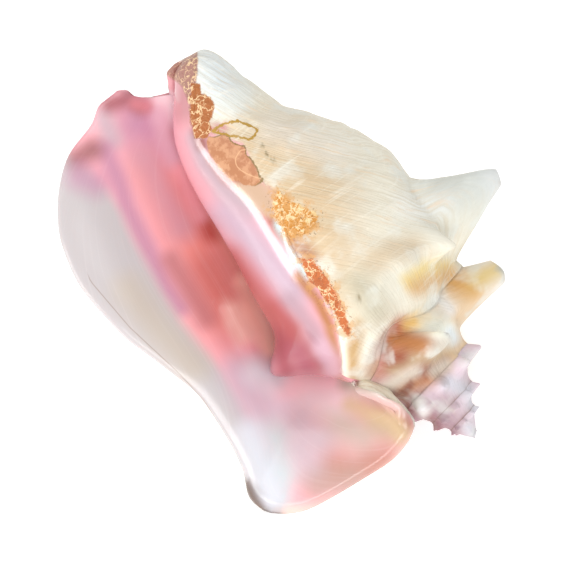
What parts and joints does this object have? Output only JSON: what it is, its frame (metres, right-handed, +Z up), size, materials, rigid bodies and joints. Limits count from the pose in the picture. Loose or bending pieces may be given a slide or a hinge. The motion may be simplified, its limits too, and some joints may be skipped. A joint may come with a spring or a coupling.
{
  "type": "conch shell",
  "caption": "Large spiral sea shell with a spined spire and a wide flared lip round a long open mouth, resting mouth up.",
  "frame": {"origin": "on the surface that the shell rests on, below the centre of its bounding box", "axes": "+Z up from the surface it rests on; -Y towards whoever looks into the mouth; +X from the flared lip towards the spire"},
  "size_m": [0.2, 0.1686, 0.142],
  "materials": {
    "shell": "satin"
  },
  "bodies": {
    "root": {"conch_shell": "shell"}
  },
  "joints": []
}
